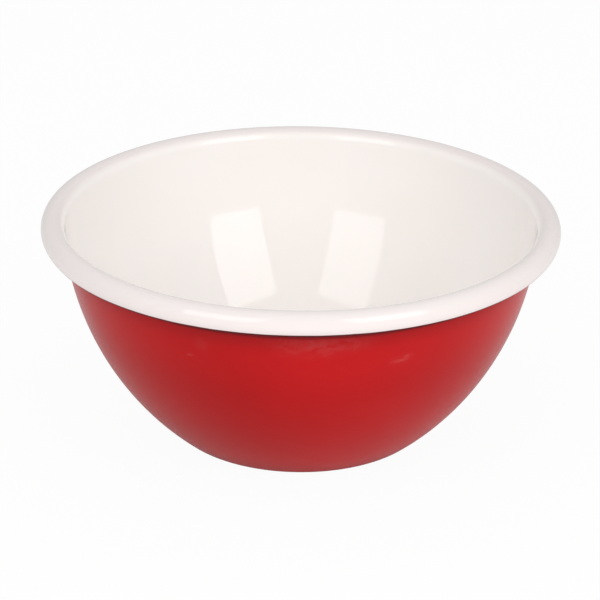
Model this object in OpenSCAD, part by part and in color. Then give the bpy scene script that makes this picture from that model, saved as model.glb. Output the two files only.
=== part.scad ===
// Enamel basin bowl: one drawn steel bowl with an outward curled rim, fired with a dark ground coat,
// a cream cover coat on the inside and over the rim, and a red cover coat on the outside.
// The bowl stands on z = 0 and is turned about the Z axis. All sizes are in millimetres.

/* [Bowl] */
// Outside diameter over the rolled rim
rim_diameter = 220; // [205:1:235]
// Height from the table to the top of the rolled rim
bowl_height = 96.5; // [88:0.5:106]
// Diameter of the flat base, up to where its corner starts to rise
base_diameter = 105; // [96:1:114]
// Outside radius of the corner between the base and the wall
base_corner_radius = 5; // [3.5:0.5:8]

/* [Wall] */
// Slope of the wall where it leaves the base corner, in degrees from level
wall_foot_slope = 40; // [36:1:44]
// Slope of the wall where it runs into the rolled rim
wall_top_slope = 85; // [80:1:88]
// About which share of the wall's turning is done by its lower arc, before the straighter upper arc
lower_arc_share = 0.72; // [0.4:0.01:0.8]

/* [Rolled rim] */
// Width of the finished roll
roll_width = 10; // [9:0.1:11.5]
// Height of the finished roll
roll_height = 10.3; // [9.2:0.1:12]
// How far round the roll the cut edge of the sheet lies, in degrees from level on the wall's side
curl_turn = 308; // [290:1:312]

/* [Sheet and coats] */
// Thickness of the steel sheet
steel_thickness = 0.6; // [0.45:0.05:0.8]
// Thickness of the dark ground coat on either face
ground_thickness = 0.12; // [0.08:0.01:0.16]
// Thickness of the cream cover coat on the inside and the rim
cream_thickness = 0.2; // [0.12:0.01:0.28]
// Thickness of the red cover coat on the outside
red_thickness = 0.18; // [0.12:0.01:0.26]
// Band of ground coat that stays uncovered between the underside of the roll and the red coat
uncovered_band = 3.2; // [2:0.1:4.5]

/* [Hidden] */
$fn = 180;

// Finest turn of the outline per straight step, in degrees, on the wall and on the tight bends
wall_step = 3;
bend_step = 10;
// Least turn of either arc of the wall, in degrees
least_turn = 1;

// The drawing line is the lining side of the steel. Coats lie so far to either side of it.
lining_depth = ground_thickness + cream_thickness;
outside_depth = steel_thickness + ground_thickness + red_thickness;

// The roll follows an oval, whose drawing line lies inside the finished one by the coats on the rim
roll_centre = [(rim_diameter - roll_width) / 2, bowl_height - roll_height / 2];
roll_half_width = roll_width / 2 - lining_depth;
roll_half_height = roll_height / 2 - lining_depth;
// Where on the oval, counted from level on the wall's side, the sheet has the wall's top slope
curl_start = atan2(roll_half_height * cos(wall_top_slope), roll_half_width * sin(wall_top_slope));

base_radius = base_diameter / 2;
corner_line_radius = base_corner_radius - outside_depth;

// A point of the drawing line is [distance from the axis, height, slope]
function corner_point(slope) = [
    base_radius + corner_line_radius * sin(slope),
    base_corner_radius - corner_line_radius * cos(slope),
    slope
];
function roll_point(turn) = [
    roll_centre.x - roll_half_width * cos(turn),
    roll_centre.y + roll_half_height * sin(turn),
    atan2(roll_half_height * cos(turn), roll_half_width * sin(turn))
];
function arc_point(start, radius, slope) = [
    start[0] + radius * (sin(slope) - sin(start[2])),
    start[1] + radius * (cos(start[2]) - cos(slope)),
    slope
];

// Two arcs that share a tangent lead from the corner to the roll. Their reach in and up fixes both radii.
// The tangent that they share lies between the two slopes at which one of them would be all of the wall.
wall_foot = corner_point(wall_foot_slope);
wall_top = roll_point(curl_start);
wall_reach = wall_top[0] - wall_foot[0];
wall_rise = wall_top[1] - wall_foot[1];
chord_slope = atan2(wall_rise, wall_reach);
wall_turn = wall_top_slope - wall_foot_slope;
fitting_slope = 2 * chord_slope - wall_top_slope + lower_arc_share * wall_turn;
meeting_slope = min(max(fitting_slope, wall_foot_slope + least_turn), wall_top_slope - least_turn);
lower_reach_share = sin(meeting_slope) - sin(wall_foot_slope);
lower_rise_share = cos(wall_foot_slope) - cos(meeting_slope);
upper_reach_share = sin(wall_top_slope) - sin(meeting_slope);
upper_rise_share = cos(meeting_slope) - cos(wall_top_slope);
shares_product = lower_reach_share * upper_rise_share - upper_reach_share * lower_rise_share;
lower_radius = (wall_reach * upper_rise_share - wall_rise * upper_reach_share) / shares_product;
upper_radius = (wall_rise * lower_reach_share - wall_reach * lower_rise_share) / shares_product;
wall_mid = arc_point(wall_foot, lower_radius, meeting_slope);
function lower_wall_point(slope) = arc_point(wall_foot, lower_radius, slope);
function upper_wall_point(slope) = arc_point(wall_mid, upper_radius, slope);

// The red coat stops short of the roll, at this height and so at this slope of the upper arc
red_edge_height = bowl_height - roll_height - uncovered_band;
red_edge_slope = acos(cos(meeting_slope) - (red_edge_height - wall_mid[1]) / upper_radius);

// Even steps from one angle to the next, with the first one left out because the line is already there
function steps(from, to, step) =
    let (count = ceil(abs(to - from) / step))
    [for (i = [1 : count]) from + (to - from) * i / count];

// The drawing line, from the axis out to the red coat's edge, on to the roll, and round it to the cut edge
covered_line = concat(
    [[0, outside_depth, 0], corner_point(0)],
    [for (slope = steps(0, wall_foot_slope, bend_step)) corner_point(slope)],
    [for (slope = steps(wall_foot_slope, meeting_slope, wall_step)) lower_wall_point(slope)],
    [for (slope = steps(meeting_slope, red_edge_slope, wall_step)) upper_wall_point(slope)]
);
wall_line = concat(
    covered_line,
    [for (slope = steps(red_edge_slope, wall_top_slope, wall_step)) upper_wall_point(slope)]
);
sheet_line = concat(wall_line, [for (turn = steps(curl_start, curl_turn, bend_step)) roll_point(turn)]);
cut_edge = sheet_line[len(sheet_line) - 1];

// A place beside the line, to its lining side, and ahead of it past its end
function beside(point, side, ahead = 0) = [
    point[0] - side * sin(point[2]) + ahead * cos(point[2]),
    point[1] + side * cos(point[2]) + ahead * sin(point[2])
];
function face(line, side) = [for (point = line) beside(point, side)];
function back(list) = [for (i = [len(list) - 1 : -1 : 0]) list[i]];

// A layer between two faces of the line, and a coat that also turns over the sheet's cut edge
module layer(line, low, high) {
    rotate_extrude()
        polygon(concat(face(line, high), back(face(line, low))));
}
module coat_over_edge(low, high) {
    edge_turn = [
        beside(cut_edge, high, high),
        beside(cut_edge, -steel_thickness, high),
        beside(cut_edge, -steel_thickness, low),
        beside(cut_edge, low, low)
    ];
    rotate_extrude()
        polygon(concat(face(sheet_line, high), edge_turn, back(face(sheet_line, low))));
}

// Low-carbon steel sheet, drawn to the bowl's form, with its edge curled outwards into a hollow roll
module steel_bowl() {
    color("slategray")
        layer(sheet_line, -steel_thickness, 0);
}

// Dark ground coat on the lining side, over the roll and round the cut edge
module ground_coat_inside() {
    color("midnightblue")
        coat_over_edge(0, ground_thickness);
}

// Dark ground coat on the outside of the base and wall, up into the hollow of the roll
module ground_coat_outside() {
    color("midnightblue")
        layer(wall_line, -steel_thickness - ground_thickness, -steel_thickness);
}

// Cream cover coat of the inside, carried over the roll and round the coated edge
module cream_cover_coat() {
    color("linen")
        coat_over_edge(ground_thickness, lining_depth);
}

// Red cover coat of the base and wall, which ends in a line just under the roll
module red_cover_coat() {
    color("firebrick")
        layer(covered_line, -outside_depth, -steel_thickness - ground_thickness);
}

steel_bowl();
ground_coat_inside();
ground_coat_outside();
cream_cover_coat();
red_cover_coat();
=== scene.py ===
from math import acos, atan2, cos, pi, radians, sin

import bpy
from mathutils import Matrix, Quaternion, Vector


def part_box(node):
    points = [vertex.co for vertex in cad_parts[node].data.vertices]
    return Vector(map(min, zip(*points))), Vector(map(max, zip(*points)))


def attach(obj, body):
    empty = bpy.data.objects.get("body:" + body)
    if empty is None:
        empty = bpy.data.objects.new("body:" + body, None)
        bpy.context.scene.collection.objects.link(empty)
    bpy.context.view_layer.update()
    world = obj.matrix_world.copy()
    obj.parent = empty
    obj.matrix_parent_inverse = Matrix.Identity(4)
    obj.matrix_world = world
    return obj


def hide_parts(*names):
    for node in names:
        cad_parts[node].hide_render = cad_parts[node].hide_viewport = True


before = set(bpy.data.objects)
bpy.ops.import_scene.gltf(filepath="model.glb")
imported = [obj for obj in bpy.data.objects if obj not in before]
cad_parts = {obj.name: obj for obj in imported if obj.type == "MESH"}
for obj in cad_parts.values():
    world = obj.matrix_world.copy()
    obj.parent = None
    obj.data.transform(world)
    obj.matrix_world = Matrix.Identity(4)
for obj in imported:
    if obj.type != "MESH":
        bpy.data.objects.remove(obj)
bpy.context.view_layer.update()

# Steel bowl: one disc of low-carbon sheet, deep drawn to the bowl's form, with its edge curled outwards.
# Enamel covers all of it but the hollow of the roll, where the bare steel kept its furnace scale.


class Wire:
    """An output of a shader node. Arithmetic with it adds Math nodes to the same material."""

    def __init__(self, socket):
        self.socket = socket

    def node(self, kind, settings=None, sockets=None, output=0):
        """Any other node of the same material: its settings first, then its sockets."""
        made = self.socket.id_data.nodes.new(kind)
        for name, value in (settings or {}).items():
            setattr(made, name, value)
        fill(made, sockets or {})
        return Wire(made.outputs[output])

    def math(self, operation, first, second):
        return self.node("ShaderNodeMath", {"operation": operation}, {0: first, 1: second})

    def __add__(self, other):
        return self.math("ADD", self, other)

    def __sub__(self, other):
        return self.math("SUBTRACT", self, other)

    def __rsub__(self, other):
        return self.math("SUBTRACT", other, self)

    def __mul__(self, other):
        return self.math("MULTIPLY", self, other)

    __radd__ = __add__
    __rmul__ = __mul__

    def vector(self, operation, other):
        """A Vector Math node between this place or offset and another vector."""
        return self.node("ShaderNodeVectorMath", {"operation": operation}, {0: self, 1: other})

    def length(self):
        return self.node("ShaderNodeVectorMath", {"operation": "LENGTH"}, {0: self}, output="Value")

    def ramp(self, start, end):
        """0 as far as start and 1 from end on, with a smooth rise between them."""
        sockets = {"Value": self, "From Min": start, "From Max": end}
        return self.node("ShaderNodeMapRange", {"interpolation_type": "SMOOTHSTEP"}, sockets)

    def mix(self, none, full):
        """A colour between two, by this wire."""
        return self.node("ShaderNodeMix", {"data_type": "RGBA"}, {0: self, 6: none, 7: full}, output=2)


def fill(node, values):
    """Gives a node's sockets their values. A wire is linked, a number, vector or colour is set."""
    for name, value in values.items():
        socket = node.inputs[name]
        if isinstance(value, Wire):
            socket.id_data.links.new(value.socket, socket)
        else:
            socket.default_value = value


def finish(name):
    """A new material, its shader, and the place on the object in metres."""
    material = bpy.data.materials.new(name)
    material.use_nodes = True
    shader = material.node_tree.nodes["Principled BSDF"]
    place = Wire(shader.outputs[0]).node("ShaderNodeTexCoord", output="Object")
    return material, shader, place


def clouds(place, size, detail=2.0):
    """Soft noise between 0 and 1, with blots of about that size in metres."""
    return place.node("ShaderNodeTexNoise", sockets={"Vector": place, "Scale": 1 / size, "Detail": detail})


def dress(name, material):
    """Gives a piece that is shown as it was built its finish."""
    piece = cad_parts[name]
    piece.data.materials.clear()
    piece.data.materials.append(material)


mm = 0.001
scale_grey = (0.16, 0.15, 0.145, 1)
scale_brown = (0.20, 0.13, 0.09, 1)
scale_blot = 6 * mm
brown_edges = 0.35, 0.7
scale_roughness = 0.42
blot_roughness = 0.3
scale_metallic = 0.85

furnace_scale, shader, place = finish("furnace_scale")
blots = clouds(place, scale_blot, detail=4)
fill(shader, {
    "Base Color": blots.ramp(*brown_edges).mix(scale_grey, scale_brown),
    "Roughness": scale_roughness + blot_roughness * blots,
    "Metallic": scale_metallic,
})
dress("steel_bowl", furnace_scale)

# Ground coats: a thin dark enamel that bonds to the steel, fired on before the colours. The outer one
# shows between the roll and the red, where the red coat stops short and only a mist of its spray lies.

ground_black = (0.012, 0.010, 0.013, 1)
ground_blue = (0.020, 0.020, 0.030, 1)
ground_grain = 0.8 * mm
blue_edges = 0.4, 0.7
ground_roughness = 0.22
grain_roughness = 0.2
ground_gloss = 0.15
red_mist = (0.30, 0.008, 0.010, 1)
least_mist = 0.22
mist_reach = 1.7 * mm
mist_waver = 0.4 * mm
mist_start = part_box("red_cover_coat")[1].z


def height_of(place):
    """Height above the base's underside."""
    return place.node("ShaderNodeSeparateXYZ", sockets={0: place}, output="Z")


ground_enamel, shader, place = finish("ground_enamel")
grain = clouds(place, ground_grain)
near_red = (height_of(place) + mist_waver * grain).ramp(mist_start + mist_reach, mist_start)
mist = least_mist + (1 - least_mist) * near_red
bare_ground = grain.ramp(*blue_edges).mix(ground_black, ground_blue)
fill(shader, {
    "Base Color": mist.mix(bare_ground, red_mist),
    "Roughness": ground_roughness + grain_roughness * grain,
    "Specular IOR Level": ground_gloss,
})
dress("ground_coat_inside", ground_enamel)
dress("ground_coat_outside", ground_enamel)

# Cream cover coat: glass enamel on the whole inside, carried over the roll and round the sheet's cut edge.
# It is sprayed from above as slip, then fired level and glossy. On the roll painted shade lies over it,
# deepest towards the crest, and under the roll a dark maroon painted shade takes its place.

bowl_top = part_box("cream_cover_coat")[1]
rim_radius = bowl_top.x
bowl_height = bowl_top.z
base_radius = 52.5 * mm
base_corner = 5 * mm
foot_slope = radians(40)
top_slope = radians(85)
lower_arc_share = 0.72
roll_width = 10 * mm
roll_height = 10.3 * mm
curl_turn = radians(308)
steel = 0.6 * mm
ground = 0.12 * mm
cream = 0.2 * mm
red = 0.18 * mm

# The drawing line is the lining side of the steel. Its points are (distance from the axis, height, slope).
lining_depth = ground + cream
outside_depth = steel + ground + red
roll_across = rim_radius - roll_width / 2
roll_up = bowl_height - roll_height / 2
roll_half_width = roll_width / 2 - lining_depth
roll_half_height = roll_height / 2 - lining_depth
curl_start = atan2(roll_half_height * cos(top_slope), roll_half_width * sin(top_slope))
corner_radius = base_corner - outside_depth


def corner_point(slope):
    return base_radius + corner_radius * sin(slope), base_corner - corner_radius * cos(slope), slope


def roll_point(turn):
    slope = atan2(roll_half_height * cos(turn), roll_half_width * sin(turn))
    return roll_across - roll_half_width * cos(turn), roll_up + roll_half_height * sin(turn), slope


def arc_point(start, radius, slope):
    across, up, first = start
    return across + radius * (sin(slope) - sin(first)), up + radius * (cos(first) - cos(slope)), slope


def steps(first, last, step):
    """Even steps from first to last, without first itself."""
    count = max(1, round(abs(last - first) / step))
    return [first + (last - first) * i / count for i in range(1, count + 1)]


# Two arcs that share a tangent make the wall, from the base corner to the roll.
wall_foot = corner_point(foot_slope)
wall_top = roll_point(curl_start)
wall_reach = wall_top[0] - wall_foot[0]
wall_rise = wall_top[1] - wall_foot[1]
chord_slope = atan2(wall_rise, wall_reach)
meeting_slope = 2 * chord_slope - top_slope + lower_arc_share * (top_slope - foot_slope)
lower_reach = sin(meeting_slope) - sin(foot_slope)
lower_rise = cos(foot_slope) - cos(meeting_slope)
upper_reach = sin(top_slope) - sin(meeting_slope)
upper_rise = cos(meeting_slope) - cos(top_slope)
crossed = lower_reach * upper_rise - upper_reach * lower_rise
lower_radius = (wall_reach * upper_rise - wall_rise * upper_reach) / crossed
upper_radius = (wall_rise * lower_reach - wall_reach * lower_rise) / crossed
wall_middle = arc_point(wall_foot, lower_radius, meeting_slope)

floor_rings = 6
wall_step = radians(1)
bend_step = radians(4)


def upper_wall(slopes):
    return [arc_point(wall_middle, upper_radius, slope) for slope in slopes]


lower_slopes = steps(foot_slope, meeting_slope, wall_step)
base_line = [(base_radius * i / floor_rings, outside_depth, 0) for i in range(floor_rings + 1)]
base_line += [corner_point(slope) for slope in steps(0, foot_slope, bend_step)]
base_line += [arc_point(wall_foot, lower_radius, slope) for slope in lower_slopes]
roll_line = [roll_point(turn) for turn in steps(curl_start, curl_turn, bend_step)]
sheet_line = base_line + upper_wall(steps(meeting_slope, top_slope, wall_step)) + roll_line


def beside(point, side, ahead=0):
    """A place to the lining side of a point of the line, and ahead of it along the line."""
    across, up, slope = point
    return across - side * sin(slope) + ahead * cos(slope), up + side * cos(slope) + ahead * sin(slope)


round_steps = 240
sharp_angle = radians(50)


def turned(name, outline, material):
    """A closed mesh, turned about the axis from an outline that starts and ends on the axis."""
    points, rows, faces = [], [], []
    for across, up in outline:
        count = round_steps if across > 0 else 1
        rows.append([len(points) + i for i in range(count)])
        for i in range(count):
            turn = 2 * pi * i / round_steps
            points.append((across * cos(turn), across * sin(turn), up))
    for near, far in zip(rows, rows[1:]):
        for i in range(round_steps):
            corners = near[i % len(near)], far[i % len(far)]
            corners += far[(i + 1) % len(far)], near[(i + 1) % len(near)]
            faces.append(list(dict.fromkeys(corners)))
    mesh = bpy.data.meshes.new(name)
    mesh.from_pydata(points, [], faces)
    mesh.shade_smooth()
    mesh.set_sharp_from_angle(angle=sharp_angle)
    mesh.materials.append(material)
    piece = bpy.data.objects.new(name, mesh)
    bpy.context.scene.collection.objects.link(piece)
    return piece


wave_size = 38 * mm
peel_size = 5 * mm


def enamel(name, wave, peel):
    """Fused glass enamel with slow waves and a fine orange peel, whose depths are given in metres."""
    material, shader, place = finish(name)
    depth = wave * clouds(place, wave_size, detail=1) + peel * clouds(place, peel_size)
    fill(shader, {"Normal": place.node("ShaderNodeBump", sockets={"Height": depth, "Distance": 1})})
    return material, shader, place


def from_axis(place):
    """Distance from the bowl's axis."""
    return place.vector("MULTIPLY", (1, 1, 0)).length()


def two_looks(material, share, none, full):
    """Shows one shader where the share is 0 and another where it is 1."""
    mixed = share.node("ShaderNodeMixShader", sockets={0: share, 1: none, 2: full})
    fill(material.node_tree.nodes["Material Output"], {0: mixed})


cream_clear = (0.927, 0.891, 0.869, 1)
cream_deep = (0.917, 0.876, 0.848, 1)
cream_cloud = 60 * mm
cloud_edges = 0.3, 0.7
cream_wave = 0.05 * mm
cream_peel = 0.012 * mm
cream_roughness = 0.04
dull_cloud = 22 * mm
dull_roughness = 0.04

# On the roll the cream has its own pinker tone with painted shade over it, darker towards its crest.
cream_roll_tone_and_shade = (0.897, 0.822, 0.804, 1)
cream_crest_painted_shade = (0.792, 0.730, 0.714, 1)
crest_shade_share = 0.4
roll_edges = roll_across - roll_width / 2, roll_across - roll_width / 4
crest_shade_edges = roll_up - roll_height * crest_shade_share, bowl_height

# Under the roll a dark maroon painted shade takes the cream's place, from one angle below level to
# another, along a line that wavers.
under_roll_painted_shade = {"Base Color": (0.085, 0.005, 0.007, 1), "Roughness": 0.6, "Specular IOR Level": 0.08}
under_roll_shade_angles = radians(36), radians(42)
under_roll_shade_edges = [roll_up - roll_height / 2 * sin(angle) for angle in under_roll_shade_angles]
past_wall_shares = 0.45, 0.35
past_wall_edges = [roll_across - roll_width * share for share in past_wall_shares]
line_blot = 9 * mm
shade_line_waver = 0.3 * mm
shade_line_middle = 0.5

cream_enamel, shader, place = enamel("cream_enamel", cream_wave, cream_peel)
height = height_of(place)
across = from_axis(place)
body_tone = clouds(place, cream_cloud).ramp(*cloud_edges).mix(cream_clear, cream_deep)
# Painted shade: the roll's cream darkens from below its middle up to the crest.
roll_tone_and_shade = height.ramp(*crest_shade_edges).mix(cream_roll_tone_and_shade, cream_crest_painted_shade)
fill(shader, {
    "Base Color": across.ramp(*roll_edges).mix(body_tone, roll_tone_and_shade),
    "Roughness": cream_roughness + dull_roughness * clouds(place, dull_cloud),
})
shade_line_height = height + shade_line_waver * (clouds(place, line_blot) - shade_line_middle)
# Painted shade: the dark maroon shader stands in for the shade in the crevice under the roll.
under_roll_shade = across.ramp(*past_wall_edges) * shade_line_height.ramp(*under_roll_shade_edges)
under_roll_shade_shader = place.node("ShaderNodeBsdfPrincipled", sockets=under_roll_painted_shade)
two_looks(cream_enamel, under_roll_shade, Wire(shader.outputs[0]), under_roll_shade_shader)

# The coat turns over the cut edge in a quarter round and ends on the steel's other side.
cut_edge = sheet_line[-1]
quarter_step = radians(15)
cream_outline = [beside(point, lining_depth) for point in sheet_line]
for turn in steps(0, pi / 2, quarter_step):
    cream_outline.append(beside(cut_edge, lining_depth * cos(turn), lining_depth * sin(turn)))
cream_outline.append(beside(cut_edge, -steel, lining_depth))
cream_outline.append(beside(cut_edge, -steel, ground))
cream_outline.append(beside(cut_edge, ground, ground))
cream_outline += [beside(point, ground) for point in reversed(sheet_line)]
cream_coat = turned("cream_enamel", cream_outline, cream_enamel)
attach(cream_coat, "root")
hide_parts("cream_cover_coat")

# Red cover coat: glass enamel sprayed on the outside and the underside, up to a line below the roll.
# It thins out towards that line under a painted shadow of the roll, and painted shade makes its tone a
# little deeper to the left and the right. Use has dulled a ring on the base and rubbed a few spots pale
# under the roll.

uncovered_band = 3.2 * mm
edge_fade = 4 * mm
edge_thickness = 0.35
edge_step = 0.3 * mm / upper_radius
red_edge = bowl_height - roll_height - uncovered_band
red_edge_slope = acos(cos(meeting_slope) - (red_edge - wall_middle[1]) / upper_radius)
fade_slope = red_edge_slope - edge_fade / upper_radius

# Painted light brightens the red in the middle, high on the wall and near its foot, and painted shade
# deepens it between, with soft clouds in its tone as well.
red_clear_and_lit = (0.522, 0.006, 0.008, 1)
red_deep_and_shaded = (0.385, 0.003, 0.004, 1)
left_shade_edges = -60 * mm, 30 * mm
right_shade_edges = 30 * mm, 80 * mm
top_light_edges = 50 * mm, 74 * mm
foot_light_edges = 24 * mm, 4 * mm
red_cloud = 45 * mm
right_shade_share = 0.5
middle_light_share = 0.55
top_light_share = 0.4
foot_light_share = 0.35
cloud_share = 0.2

# Towards its edge the red darkens slowly at first, a painted shadow of the roll, then fast along a line
# that wavers, where the coat thins and painted shade lies as well.
red_thin_and_shaded = (0.30, 0.008, 0.010, 1)
roll_shadow_edges = red_edge - 8 * mm, red_edge
fast_edges = red_edge - 0.9 * mm, red_edge + 0.1 * mm
roll_shadow_share = 0.35
fast_share = 0.65
edge_waver = 0.8 * mm
waver_middle = 0.2

# Wear is a dull ring where the bowl stands, and rubbed spots whose streaks run along more than up.
scuff_pink = (0.62, 0.12, 0.12, 1)
standing_edges = 0.9 * mm, 0
ring_edges = base_radius - 9 * mm, base_radius - 2 * mm
ring_speck = 1.5 * mm
speck_edges = 0.4, 0.75
ring_share = 0.5
streak_stretch = (1, 1, 1.6)
streak_size = 4 * mm
streak_edges = 0.2, 0.75
# Each spot has its centre and its reach along X, Y and Z, in millimetres, and how strongly it shows.
rubs = [
    ((6, -99.5, 80), (25, 14, 8.5), 0.30),
    ((23, -97.5, 80), (11, 8, 5.5), 0.16),
    ((39.2, -88.9, 68.6), (5.5, 4, 1.2), 0.42),
    ((43, -87.7, 70.4), (3.6, 4, 1.5), 0.30),
    ((40, -88.6, 69), (9, 6, 3.6), 0.10),
    ((-43.5, -87.5, 69.5), (2.2, 3, 1.2), 0.40),
    ((-38.8, -91.4, 76), (5, 6, 5), 0.08),
]

red_wave = 0.03 * mm
red_peel = 0.010 * mm
red_gloss = 0.13
red_roughness = 0.2
haze_cloud = 18 * mm
haze_roughness = 0.08
wear_roughness = 0.5

red_enamel, shader, place = enamel("red_enamel", red_wave, red_peel)
height = height_of(place)
sideways = place.node("ShaderNodeSeparateXYZ", sockets={0: place}, output="X")
# Painted light and shade: lighter in the middle, high on the wall and near the foot, deeper at the sides.
middle = sideways.ramp(*left_shade_edges) * (1 - right_shade_share * sideways.ramp(*right_shade_edges))
clearness_and_light = top_light_share * height.ramp(*top_light_edges) + middle_light_share * middle
clearness_and_light = clearness_and_light + foot_light_share * height.ramp(*foot_light_edges)
clearness_and_light = clearness_and_light + cloud_share * clouds(place, red_cloud).ramp(*cloud_edges)
body_tone = clearness_and_light.mix(red_deep_and_shaded, red_clear_and_lit)
edge_run = height + edge_waver * (clouds(place, line_blot) - waver_middle)
# Painted shadow of the roll over the wall, and the coat's own thinning at its edge.
thinning_and_shadow = roll_shadow_share * edge_run.ramp(*roll_shadow_edges) + fast_share * edge_run.ramp(*fast_edges)
base_ring = height.ramp(*standing_edges) * from_axis(place).ramp(*ring_edges)
worn = ring_share * (base_ring * clouds(place, ring_speck, detail=4).ramp(*speck_edges))
streaks = clouds(place.vector("MULTIPLY", streak_stretch), streak_size, detail=5).ramp(*streak_edges)
for centre, reach, strength in rubs:
    offset = place.vector("SUBTRACT", Vector(centre) * mm)
    away = offset.vector("DIVIDE", Vector(reach) * mm).length()
    worn = worn + strength * streaks * away.ramp(1, 0)
fill(shader, {
    "Base Color": thinning_and_shadow.mix(worn.mix(body_tone, scuff_pink), red_thin_and_shaded),
    "Roughness": red_roughness + haze_roughness * clouds(place, haze_cloud) + wear_roughness * worn,
    "Specular IOR Level": red_gloss,
})

covered_slopes = steps(meeting_slope, fade_slope, wall_step) + steps(fade_slope, red_edge_slope, edge_step)
covered_line = base_line + upper_wall(covered_slopes)


def red_depth(point):
    """Depth of the red coat's face below the drawing line, less towards the coat's edge."""
    from_edge = min(1, max(0, (red_edge_slope - point[2]) * upper_radius / edge_fade))
    return steel + ground + red * (edge_thickness + (1 - edge_thickness) * sin(from_edge * pi / 2))


red_outline = [beside(point, -steel - ground) for point in covered_line]
red_outline += [beside(point, -red_depth(point)) for point in reversed(covered_line)]
red_coat = turned("red_enamel", red_outline, red_enamel)
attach(red_coat, "root")
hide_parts("red_cover_coat")

# Table: a plain pale matt top that the bowl stands on, far wider than the picture. It lies a hair below
# the base. The camera sees most of it as plain white, and the rest carries the bowl's shadow.

table_reach = 4
table_up = -0.05 * mm
table_grey = (0.88, 0.88, 0.88, 1)
table_roughness = 0.9
plain_white = (1, 1, 1, 1)
white_to_camera = 0.95
white_to_gloss = 0.1


def seen_white(wire):
    """How much of the plain white background a ray sees, by what kind of ray it is."""
    camera_ray = wire.node("ShaderNodeLightPath", output="Is Camera Ray")
    glossy_ray = wire.node("ShaderNodeLightPath", output="Is Glossy Ray")
    clear_ray = wire.node("ShaderNodeLightPath", output="Is Transmission Ray")
    return white_to_camera * camera_ray + white_to_gloss * (glossy_ray + clear_ray)


table_top, shader, place = finish("table_top")
fill(shader, {"Base Color": table_grey, "Roughness": table_roughness, "Specular IOR Level": 0})
white_shader = place.node("ShaderNodeEmission", sockets={"Color": plain_white, "Strength": 1})
two_looks(table_top, seen_white(place), Wire(shader.outputs[0]), white_shader)
table_sides = (-1, -1), (1, -1), (1, 1), (-1, 1)
table_corners = [(x * table_reach, y * table_reach, table_up) for x, y in table_sides]
table_mesh = bpy.data.meshes.new("table")
table_mesh.from_pydata(table_corners, [], [[0, 1, 2, 3]])
table_mesh.materials.append(table_top)
table = bpy.data.objects.new("table", table_mesh)
bpy.context.scene.collection.objects.link(table)

# Light: two upright softboxes in front of the bowl, left and right of the camera, a dull white reflector
# over the camera and a dull card low on the right, in an evenly lit room.

lamp_distance = 1.2
softbox_size = (0.62, 0.78)
softbox_lean = radians(3)
left_azimuth = radians(-34)
left_elevation = radians(31.8)
left_radiance = 1.88
right_azimuth = radians(38)
right_elevation = radians(30.8)
right_radiance = 2.3
reflector_size = (0.9, 0.5)
reflector_elevation = radians(65)
reflector_radiance = 1.25
card_size = (0.5, 0.35)
card_azimuth = radians(40)
card_elevation = radians(9)
card_radiance = 1.2
room_light = 0.65
lit_point = Vector((0, 0, bowl_height / 2))


def lamp(name, size, azimuth, elevation, radiance, lean=0):
    """A flat lamp that faces the bowl and is as bright as its radiance says. The camera doesn't see it."""
    light = bpy.data.lights.new(name, "AREA")
    light.shape = "RECTANGLE"
    light.size, light.size_y = size
    light.energy = radiance * pi * size[0] * size[1]
    made = bpy.data.objects.new(name, light)
    level = cos(elevation)
    toward = Vector((sin(azimuth) * level, -cos(azimuth) * level, sin(elevation)))
    made.location = lit_point + lamp_distance * toward
    made.rotation_mode = "QUATERNION"
    made.rotation_quaternion = toward.to_track_quat("Z", "Y") @ Quaternion((0, 0, 1), lean)
    made.visible_camera = False
    bpy.context.scene.collection.objects.link(made)
    return made


lamp("left_softbox", softbox_size, left_azimuth, left_elevation, left_radiance, softbox_lean)
lamp("right_softbox", softbox_size, right_azimuth, right_elevation, right_radiance, -softbox_lean)
reflector = lamp("reflector", reflector_size, 0, reflector_elevation, reflector_radiance)
reflector.visible_glossy = False
low_card = lamp("low_card", card_size, card_azimuth, card_elevation, card_radiance)
low_card.visible_glossy = False

room = bpy.data.worlds.new("room")
room.use_nodes = True
bpy.context.scene.world = room
background = room.node_tree.nodes["Background"]
room_white = seen_white(Wire(background.outputs[0]))
fill(background, {"Color": plain_white, "Strength": room_light + (1 - room_light) * room_white})

# Camera: a long lens 1.1 m in front of the bowl, looking down into its mouth. It is rolled by about
# half a degree, because the rim of the real bowl doesn't lie quite level.

picture_size = 600
sensor = 36
focal_pixels = 2556.98
camera_distance = 1.1
camera_elevation = radians(23.709)
camera_roll = radians(0.555)
aim = Vector((-0.092 * mm, 0, 55.36 * mm))

camera_data = bpy.data.cameras.new("camera")
camera_data.sensor_width = sensor
camera_data.lens = focal_pixels * sensor / picture_size
camera = bpy.data.objects.new("camera", camera_data)
toward_camera = Vector((0, -cos(camera_elevation), sin(camera_elevation)))
camera.location = aim + camera_distance * toward_camera
camera.rotation_mode = "QUATERNION"
camera.rotation_quaternion = toward_camera.to_track_quat("Z", "Y") @ Quaternion((0, 0, 1), camera_roll)
bpy.context.scene.collection.objects.link(camera)
bpy.context.scene.camera = camera
bpy.context.scene.view_settings.view_transform = "Standard"
